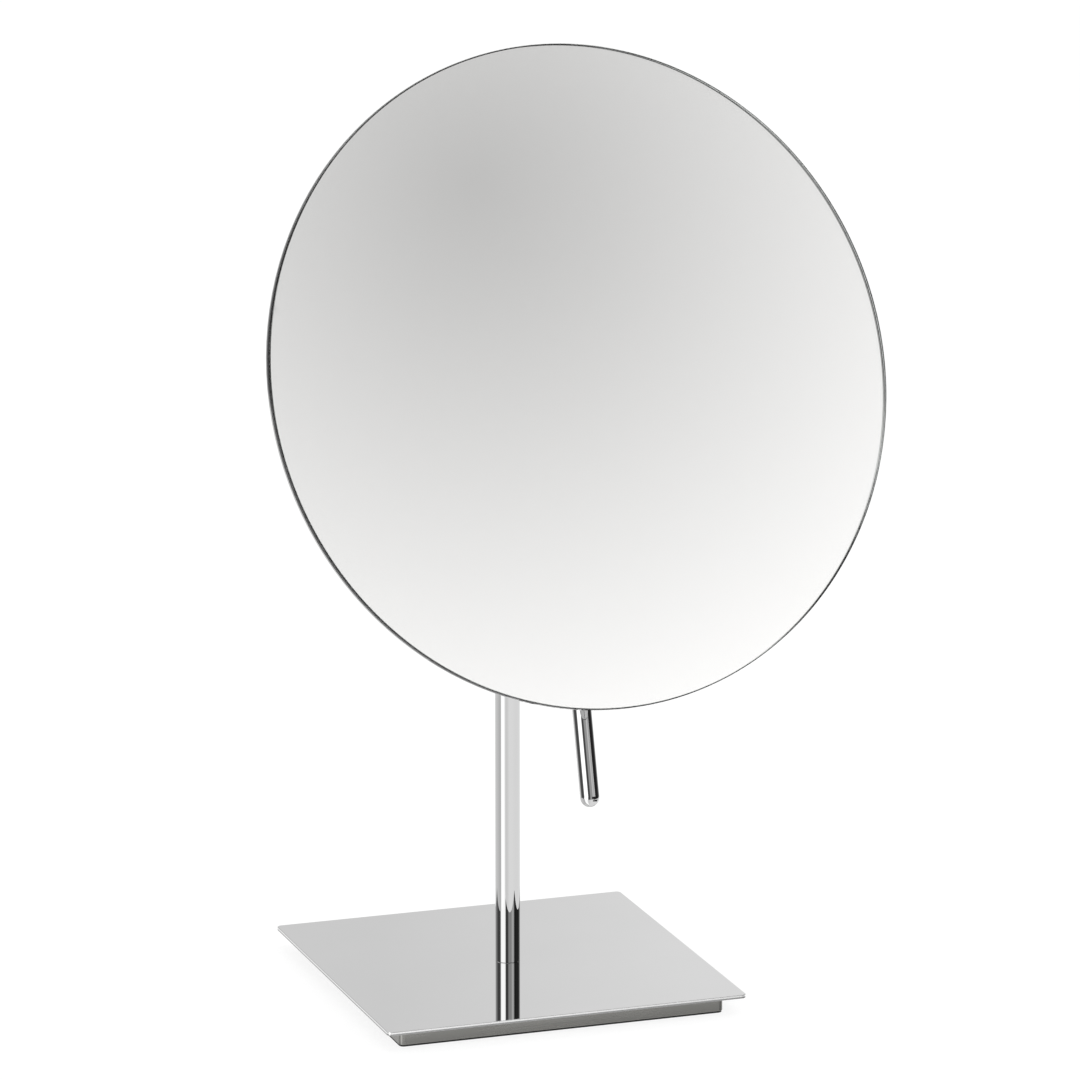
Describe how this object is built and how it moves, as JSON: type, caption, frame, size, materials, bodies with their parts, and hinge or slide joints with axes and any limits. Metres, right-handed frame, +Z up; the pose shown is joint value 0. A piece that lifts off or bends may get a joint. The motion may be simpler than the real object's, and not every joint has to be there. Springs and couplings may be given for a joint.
{
  "type": "cosmetic mirror",
  "caption": "Free-standing round cosmetic mirror: frameless hollow glass with a rod handle, on a thin pole and a low square base, that swivels and tilts.",
  "frame": {"origin": "centre of the base pad's underside, on the table", "axes": "+Z up along the pole, -Y towards the front edge of the base, +X to the right seen from the front"},
  "size_m": [0.207, 0.1533, 0.3105],
  "materials": {
    "polished_chrome": "mirror-bright chrome plate",
    "glass_mirror": "silvered clear glass with a rounded, polished edge",
    "weight_steel": "polished plated steel, duller than the plate",
    "screw_steel": "zinc plated steel",
    "spring_steel": "oiled spring steel",
    "slip_nylon": "natural nylon",
    "pad_foam": "black closed-cell foam rubber",
    "tape_foam": "dark adhesive foam",
    "bond_clear": "clear adhesive film"
  },
  "bodies": {
    "stand": {"base_pad": "pad_foam", "base_weight": "weight_steel", "bond_film": "bond_clear", "base_plate": "polished_chrome", "pole_washer": "spring_steel", "pole_screw": "screw_steel", "pole": "polished_chrome", "swivel_washer": "slip_nylon", "swivel_spring": "spring_steel", "swivel_clamp_washer": "screw_steel", "swivel_screw": "screw_steel"},
    "swivel": {"swivel_head": "polished_chrome", "head_cap": "polished_chrome", "tilt_pin": "screw_steel", "tilt_nut": "polished_chrome", "tilt_spring": "spring_steel", "tilt_discs": "slip_nylon"},
    "mirror": {"tilt_knuckle": "polished_chrome", "hub_washer": "spring_steel", "hub_screw": "screw_steel", "mirror_hub": "polished_chrome", "shell_screws": "screw_steel", "back_shell": "polished_chrome", "foam_rings": "tape_foam", "mirror_glass": "glass_mirror", "handle_stud": "screw_steel", "handle_rod": "polished_chrome"}
  },
  "joints": [
    {"name": "head_swivel", "type": "hinge", "parent": "stand", "child": "swivel", "pos_m": [0, 0, 0.19945], "axis": [0, 0, 1], "continuous": true},
    {"name": "mirror_tilt", "type": "hinge", "parent": "swivel", "child": "mirror", "pos_m": [0.00189, -0.02041, 0.19945], "axis": [-0.9957, -0.0924, 0], "range_deg": [-29, 60]}
  ]
}
